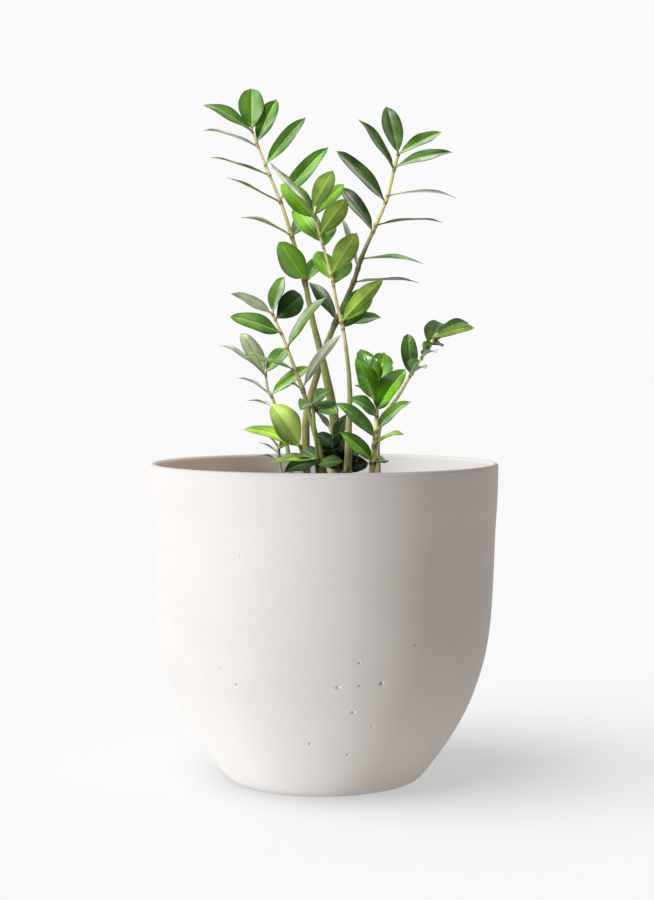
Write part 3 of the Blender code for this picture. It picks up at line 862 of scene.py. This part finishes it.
def measured_stalk(node):
    """A tall stem's centreline and radii, from the rings of its CAD solid."""
    points = np.array([v.co for v in frame["nodes"][node].data.vertices], float)
    points = np.unique(np.round(points, 6), axis=0)
    points = points[np.argsort(points[:, 2])]
    rings = points.reshape(-1, CAD_STEM_SIDES, 3)
    centres = rings.mean(axis=1)
    radii = np.linalg.norm(rings - centres[:, None], axis=2).mean(axis=1)
    return fine_stalk([Vector(c) for c in centres[1:]], list(radii[1:]))


def designed_stalk(points, low_radius, top_radius):
    curve = smooth_curve([Vector(p) * MM for p in points], 2)
    rough = Stalk(curve, [0.0] * len(curve))
    radii = [
        (top_radius + (low_radius - top_radius) * (1.0 - at / rough.length) ** STEM_TAPER) * MM
        for at in rough.at
    ]
    return fine_stalk(curve, radii)


def fine_stalk(centres, radii):
    """The same stalk resampled finely and smoothly."""
    curve = smooth_curve(centres, 8)
    spread = np.interp(np.linspace(0, len(radii) - 1, len(curve)), range(len(radii)), radii)
    return Stalk(curve, spread.tolist())


def stalk_piece(node, stalk, joints, seed):
    """A stem's skin with swollen joints where leaflets grow and a fleshy foot in the soil."""
    rng = random.Random(seed)
    slim = SLIM.get(node, 0.0)
    foot, first, _ = stalk.place(0.0)
    steps = int((stalk.length + PLANTED_DEPTH) / STALK_STEP)
    samples = [-PLANTED_DEPTH + i * STALK_STEP for i in range(steps + 1)]
    samples.append(stalk.length)
    verts, heights, scars, rings = [], [], [], []
    across = Vector((1, 0, 0))
    lean = [rng.uniform(0, math.tau) for _ in range(3)]
    for at in samples:
        centre, upward, radius = stalk.place(at)
        if at < 0:
            centre = foot + first * at
        joint = sum(math.exp(-(((at - j) / JOINT_LENGTH) ** 2)) for j in joints)
        line = sum(math.exp(-(((at - j + SCAR_BELOW) / SCAR_LENGTH) ** 2)) for j in joints)
        radius *= 1.0 - slim * min(max(at / stalk.length, 0.0) / SLIM_FROM, 1.0)
        radius *= 1.0 + JOINT_SWELL * min(joint, 1.0)
        radius *= 1.0 + FOOT_SWELL * math.exp(-max(at, 0.0) / FOOT_LENGTH)
        across = (across - across.dot(upward) * upward).normalized()
        over = upward.cross(across)
        ring = []
        for side in range(STALK_SIDES):
            angle = math.tau * side / STALK_SIDES
            x, y = math.cos(angle), math.sin(angle)
            ridges = 0.025 * math.sin(3 * angle + lean[0])
            twist = 0.02 * math.sin(5 * angle + at * 260 + lean[1])
            rough = 1.0 + 0.05 * noise.noise(Vector((x * 2, y * 2, at * 300 + lean[2])))
            offset = radius * (1.0 + ridges + twist) * rough * (x * across + y * over)
            ring.append(len(verts))
            verts.append(centre + offset)
            heights.append(min(max(at / stalk.length, 0.0), 1.0))
            scars.append(min(line, 1.0))
        rings.append(ring)
    top, upward, radius = stalk.place(stalk.length)
    faces = []
    for low, high in zip(rings, rings[1:]):
        for side in range(STALK_SIDES):
            after = (side + 1) % STALK_SIDES
            faces.append((low[side], low[after], high[after], high[side]))
    faces.append(tuple(rings[0][::-1]))
    cap = len(verts)
    verts.append(top + upward * radius * 0.8)
    heights.append(1.0)
    scars.append(0.0)
    for side in range(STALK_SIDES):
        faces.append((rings[-1][side], rings[-1][(side + 1) % STALK_SIDES], cap))
    material = stem_material(node + "_bark", STEM_TONES[node])
    obj = add_mesh(node + "_stalk", verts, faces, [material])
    obj.data.attributes.new("height", "FLOAT", "POINT").data.foreach_set("value", heights)
    obj.data.attributes.new("scar", "FLOAT", "POINT").data.foreach_set("value", scars)
    finish_piece(obj, node, node)


# ---------------------------------------------------------------- plant
FRONT_AND_UP = Vector((0.0, -1.0, 0.1))


def grow_leaflet(group, number, node, stalk, found, seed):
    """One leaflet on its stalk. Returns how far along the stalk it grows."""
    tip, normal, width, arch, distance = found
    look = {**PLAIN_BLADE, **BLADE_LOOKS[group].get(number, {})}
    centre, _, radius = stalk.place(distance)
    tip = tip + Vector(look["nudge"]) * MM
    root = centre + (tip - centre).normalized() * radius * ROOT_REACH
    if look["show"] == "upper" and normal.dot(FRONT_AND_UP) < 0:
        normal, arch = -normal, -arch
    normal = Quaternion(tip - centre, math.radians(look["roll"])) @ normal
    width *= look["width"]
    arch *= look["arch"]
    materials = LEAF_MATERIALS[look["tone"] or GROUP_TONE[group]]
    name = f"{node}_leaf_{number:02d}_blade" if node == group else f"{node}_blade"
    blade = blade_mesh(name, root, tip, normal, width, arch, look, materials, seed)
    finish_piece(blade, group, node)
    return distance


def build_tall_stem(key, seed):
    node, group = f"stem_{key}", f"leaf_{key}"
    stalk = measured_stalk(node)
    leaflets = sorted(n for n in frame["nodes"] if n.startswith(group + "_"))
    joints = [
        grow_leaflet(group, i, leaf, stalk, measured_leaflet(leaf, stalk), seed + i - 1)
        for i, leaf in enumerate(leaflets, start=1)
    ]
    stalk_piece(node, stalk, joints, seed)


def build_shoot(node, seed):
    stalk = designed_stalk(*SHOOTS[node])
    extra = UNDERGROWTH if node == "shoot_middle" else ()
    joints = [
        grow_leaflet(node, i, node, stalk, designed_leaflet(stalk, row), seed + i)
        for i, row in enumerate(SHOOT_LEAFLETS[node] + extra, start=1)
    ]
    stalk_piece(node, stalk, joints, seed)


# ---------------------------------------------------------------- pot and soil
# Outer wall, (radius, height) in millimetres, from foot to rim, as in the CAD source.
POT_WALL_POINTS = (
    (82, 0), (90, 8), (109, 34.5), (124, 61), (134, 87), (140.5, 112), (144, 138),
    (146, 170), (147.5, 210), (149.3, 240), (150, 268),
)
POT_WALL = 5.0 * MM
POT_FLOOR = 9.0 * MM
POT_SEGMENTS = 240
SHARP_FROM = math.radians(35.0)
LIP_ARC_STEPS = 8
FOOT_ROUND = 2.0 * MM
SOIL_EDGE = 238.0 * MM
SOIL_CROWN = 243.0 * MM
SOIL_GAP = 0.5 * MM
SOIL_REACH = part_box("soil")[1].x
SOIL_LUMP = 2.4 * MM
SOIL_RINGS = 64
CLODS = 420
CLOD_SIZES = (0.9, 2.9)
# Pinholes left by air bubbles: bearing from the front in degrees, height, radius (millimetres).
PINHOLES = (
    (-30.5, 100, 0.8), (11.5, 121, 0.7), (31.0, 133, 0.9), (19.5, 104, 1.0), (12.0, 102, 0.8),
    (4.6, 101, 0.8), (10.2, 80, 1.0), (-5.4, 52, 0.9), (9.8, 42, 1.1), (53.0, 38, 0.7),
    (-36.5, 113, 0.5), (18.0, 67, 0.5), (44.0, 96, 0.5), (-26.8, 206, 0.5),
    (96.0, 68, 0.9), (131.0, 109, 0.8), (158.0, 49, 1.0), (187.0, 90, 0.8), (214.0, 33, 0.9),
    (241.0, 122, 0.8), (268.0, 60, 1.0), (252.0, 98, 0.8),
)


def lathe(name, profile, material, move=None):
    """A closed solid turned from a profile that starts and ends on the axis."""
    verts, rings = [], []
    for index, (radius, height) in enumerate(profile):
        count = POT_SEGMENTS if radius > 0 else 1
        ring = []
        for side in range(count):
            angle = math.tau * side / POT_SEGMENTS
            point = Vector((radius * math.cos(angle), radius * math.sin(angle), height))
            ring.append(len(verts))
            verts.append(move(index, point) if move else point)
        rings.append(ring)
    faces = []
    for low, high in zip(rings, rings[1:]):
        for side in range(POT_SEGMENTS):
            after = (side + 1) % POT_SEGMENTS
            corners = [low[side % len(low)], low[after % len(low)],
                       high[after % len(high)], high[side % len(high)]]
            faces.append(tuple(dict.fromkeys(corners)))
    return add_mesh(name, verts, faces, [material])


def wall_profile():
    """The pot's outer wall, finely, in metres."""
    fine = smooth_curve([(r * MM, 0.0, z * MM) for r, z in POT_WALL_POINTS], 9)
    return [(p.x, p.z) for p in fine]


def inside_profile(outer, offset, low, high):
    """The outer wall moved in by offset along its normal, between two heights."""
    moved = []
    for index, (r, z) in enumerate(outer):
        before = outer[max(index - 1, 0)]
        after = outer[min(index + 1, len(outer) - 1)]
        along = Vector((after[0] - before[0], after[1] - before[1])).normalized()
        moved.append((r - offset * along.y, z + offset * along.x))
    return [p for p in moved if low < p[1] < high]


def pit_cutter(outer):
    """Small uneven hollows on the wall, all in one mesh."""
    rng = random.Random(5)
    cutter = bmesh.new()
    heights = [z for _, z in outer]
    radii = [r for r, _ in outer]
    for bearing, height, size in PINHOLES:
        angle = math.radians(bearing - 90.0)
        radius = float(np.interp(height * MM, heights, radii))
        centre = Vector((radius * math.cos(angle), radius * math.sin(angle), height * MM))
        offset = Vector((rng.uniform(0, math.tau), size, bearing))
        lumpy_ball(cutter, centre, size * MM, 0.35, 1.3, offset)
    obj = add_bmesh("pinholes", cutter)
    obj.hide_render = True
    obj.display_type = "WIRE"
    return obj


def build_pot():
    outer = wall_profile()
    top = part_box("pot")[1].z
    rim = outer[-1][0]
    lip_radius = POT_WALL / 2
    lip_middle = (rim - lip_radius, top - lip_radius)
    lip = [
        (lip_middle[0] + lip_radius * math.cos(a), lip_middle[1] + lip_radius * math.sin(a))
        for a in (math.pi * i / LIP_ARC_STEPS for i in range(LIP_ARC_STEPS + 1))
    ]
    outer = [p for p in outer if p[1] < lip_middle[1] - 0.2 * MM]
    foot = [(outer[0][0] - FOOT_ROUND, 0.0), (outer[0][0] - 0.3 * FOOT_ROUND, 0.08 * FOOT_ROUND)]
    inside = inside_profile(wall_profile(), POT_WALL, POT_FLOOR + 1.5 * MM, lip_middle[1] - 0.2 * MM)
    floor = [(inside[0][0] - 6 * MM, POT_FLOOR), (0.5 * inside[0][0], POT_FLOOR)]
    under = [(0.0, 0.0), (0.5 * outer[0][0], 0.0)]
    profile = under + foot + outer[1:] + lip + inside[::-1] + floor + [(0.0, POT_FLOOR)]
    pot = lathe("pot_body", profile, clay_material("fibre_clay"))
    cut = pot.modifiers.new("pinholes", "BOOLEAN")
    cut.operation = "DIFFERENCE"
    cut.solver = "EXACT"
    cut.object = pit_cutter(outer)
    pot.data.set_sharp_from_angle(angle=SHARP_FROM)
    finish_piece(pot, "pot", "pot")


def soil_height(x, y):
    """Height of the lumpy soil surface at a place."""
    share = min(math.hypot(x, y) / SOIL_REACH, 1.0)
    base = SOIL_EDGE + (SOIL_CROWN - SOIL_EDGE) * (1.0 - share * share)
    coarse = noise.fractal(Vector((x * 26, y * 26, 3.0)), 0.9, 2.1, 4)
    fine = noise.noise(Vector((x * 210, y * 210, 9.0)))
    return base + SOIL_LUMP * coarse * 0.55 + SOIL_LUMP * 0.28 * fine - 0.8 * MM


def build_soil():
    material = soil_material("potting_soil")
    side = inside_profile(wall_profile(), POT_WALL + SOIL_GAP, POT_FLOOR + 3 * MM, SOIL_EDGE)
    bottom = POT_FLOOR + SOIL_GAP
    edge = side[-1][0]
    top = [(edge * (1.0 - i / SOIL_RINGS), SOIL_EDGE) for i in range(SOIL_RINGS)]
    top.append((0.0, SOIL_CROWN))
    low = [(0.0, bottom), (0.5 * edge, bottom), (side[0][0] - 8 * MM, bottom)]
    profile = low + side + top
    first_top = len(low) + len(side)

    def heap(index, point):
        if index >= first_top:
            point.z = soil_height(point.x, point.y)
        return point

    finish_piece(lathe("soil_body", profile, material, heap), "soil", "soil")

    rng = random.Random(11)
    clods = bmesh.new()
    for _ in range(CLODS):
        reach = edge * 0.97 * math.sqrt(rng.random())
        bearing = rng.uniform(0, math.tau)
        x, y = reach * math.cos(bearing), reach * math.sin(bearing)
        size = rng.uniform(*CLOD_SIZES) * MM
        centre = Vector((x, y, soil_height(x, y) + 0.2 * size))
        squash = Vector((rng.uniform(0.8, 1.5), rng.uniform(0.7, 1.1), rng.uniform(0.6, 0.9)))
        lumpy_ball(clods, centre, squash * size, 0.45, 1.6, centre * 900)
    obj = add_bmesh("soil_clods", clods)
    obj.data.materials.append(material)
    obj.data.shade_smooth()
    finish_piece(obj, "soil")


# ---------------------------------------------------------------- studio
CAMERA_DISTANCE = 1.55
CAMERA_HEIGHT = 0.362
CAMERA_PITCH = math.radians(2.93)
CAMERA_SIDE = 0.0026
# Focal length and sensor width in millimetres.
LENS = 71.9
SENSOR = 36.0
FLOOR_RADIUS = 40.0
# The floor is a lit white sweep: part of its light is its own, so shadows on it stay pale.
FLOOR_COLOUR = (0.140, 0.140, 0.140)
FLOOR_GLOW = (0.510, 0.510, 0.511)
# Room light: white behind the plant, and a dark warm side at the front right.
ROOM_WHITE = (0.951, 0.951, 0.957)
ROOM_WARM = (0.05, 0.035, 0.025)
WARM_TOWARDS = Vector((0.60, -0.70, -0.38))
WARM_SPAN = (-0.55, 0.45)
# Lamps far away: name, bearing from the front in degrees (negative is left), height above the
# floor, spread, power, colour.
LAMPS = {
    "pot_lamp": (-57.0, 14.0, 14.0, 3.55, (0.81, 0.95, 1.06)),
    "plant_lamp": (-50.0, 50.0, 14.0, 3.6, (1.0, 0.985, 0.93)),
    "floor_lamp": (-68.0, 57.0, 60.0, 9.2, (1.0, 1.0, 1.0)),
}
# Warm cards above the rim open up the inside of the pot: place, point aimed at, power.
RIM_LAMPS = {
    "rim_lamp_left": ((0.38, -0.30, 1.05), (-0.128, 0.045, 0.258), 25.0),
    "rim_lamp_right": ((-0.38, -0.30, 1.05), (0.128, 0.045, 0.258), 12.0),
}
RIM_LAMP_COLOUR = (1.0, 0.81, 0.72)
RIM_LAMP_SPREAD = math.radians(17.0)
RIM_LAMP_BLEND = 0.7
RIM_LAMP_RADIUS = 0.05


def build_floor():
    n = Nodes("studio_floor")
    n.surface(FLOOR_COLOUR, 0.9, specular=0.0)
    n.set(n.shader.inputs["Emission Color"], FLOOR_GLOW)
    n.shader.inputs["Emission Strength"].default_value = 1.0
    disc = bmesh.new()
    bmesh.ops.create_circle(disc, cap_ends=True, segments=96, radius=FLOOR_RADIUS)
    obj = add_bmesh("studio_floor", disc)
    obj.data.materials.append(n.material)
    obj.location.z = CAD_BOX[0].z
    return obj


def build_room(floor):
    world = bpy.data.worlds.new("room")
    bpy.context.scene.world = world
    world.use_nodes = True
    tree = world.node_tree
    facing = tree.nodes.new("ShaderNodeVectorMath")
    facing.operation = "DOT_PRODUCT"
    tree.links.new(tree.nodes.new("ShaderNodeTexCoord").outputs["Generated"], facing.inputs[0])
    facing.inputs[1].default_value = WARM_TOWARDS
    span = tree.nodes.new("ShaderNodeMapRange")
    span.interpolation_type = "SMOOTHSTEP"
    span.inputs[1].default_value, span.inputs[2].default_value = WARM_SPAN
    tree.links.new(facing.outputs["Value"], span.inputs[0])
    mix = tree.nodes.new("ShaderNodeMix")
    mix.data_type = "RGBA"
    tree.links.new(span.outputs[0], mix.inputs[0])
    mix.inputs[6].default_value = (*ROOM_WHITE, 1.0)
    mix.inputs[7].default_value = (*ROOM_WARM, 1.0)
    tree.links.new(mix.outputs[2], tree.nodes["Background"].inputs["Color"])

    lit = {name: bpy.data.collections.new("lit_by_" + name) for name in LAMPS}
    for obj in bpy.context.scene.objects:
        if obj == floor:
            lit["floor_lamp"].objects.link(obj)
        elif obj.name in ("pot_body", "soil_body", "soil_clods"):
            lit["pot_lamp"].objects.link(obj)
        elif obj.type == "MESH":
            lit["plant_lamp"].objects.link(obj)
    for name, (bearing, height, spread, power, colour) in LAMPS.items():
        lamp = bpy.data.lights.new(name, "SUN")
        lamp.energy = power
        lamp.color = colour
        lamp.angle = math.radians(spread)
        obj = add_object(name, lamp)
        obj.rotation_euler = (math.radians(90.0 - height), 0.0, math.radians(bearing))
        obj.light_linking.receiver_collection = lit[name]
        if name == "pot_lamp":
            # The plant throws no visible shadow into the pot.
            obj.light_linking.blocker_collection = lit[name]


def build_rim_lamps():
    only_pot = bpy.data.collections.new("lit_by_rim_lamps")
    only_pot.objects.link(bpy.data.objects["pot_body"])
    for name, (place, aim, power) in RIM_LAMPS.items():
        lamp = bpy.data.lights.new(name, "SPOT")
        lamp.energy = power
        lamp.color = RIM_LAMP_COLOUR
        lamp.spot_size = RIM_LAMP_SPREAD
        lamp.spot_blend = RIM_LAMP_BLEND
        lamp.shadow_soft_size = RIM_LAMP_RADIUS
        obj = add_object(name, lamp)
        obj.location = place
        obj.rotation_euler = (Vector(aim) - Vector(place)).to_track_quat("-Z", "Y").to_euler()
        obj.light_linking.receiver_collection = only_pot
        obj.light_linking.blocker_collection = only_pot


def build_camera():
    camera = bpy.data.cameras.new("camera")
    camera.lens = LENS
    camera.sensor_width = SENSOR
    camera.clip_end = 5.0 * FLOOR_RADIUS
    obj = add_object("camera", camera)
    obj.location = (CAMERA_SIDE, -CAMERA_DISTANCE, CAMERA_HEIGHT)
    obj.rotation_euler = (math.pi / 2 - CAMERA_PITCH, 0.0, 0.0)
    bpy.context.scene.camera = obj
    bpy.context.scene.view_settings.view_transform = "Standard"


# ---------------------------------------------------------------- everything
build_pot()
build_soil()
for order, stem in enumerate(TALL_STEMS):
    build_tall_stem(stem, 100 + 40 * order)
for order, shoot in enumerate(SHOOTS):
    build_shoot(shoot, 400 + 40 * order)
build_room(build_floor())
build_rim_lamps()
build_camera()
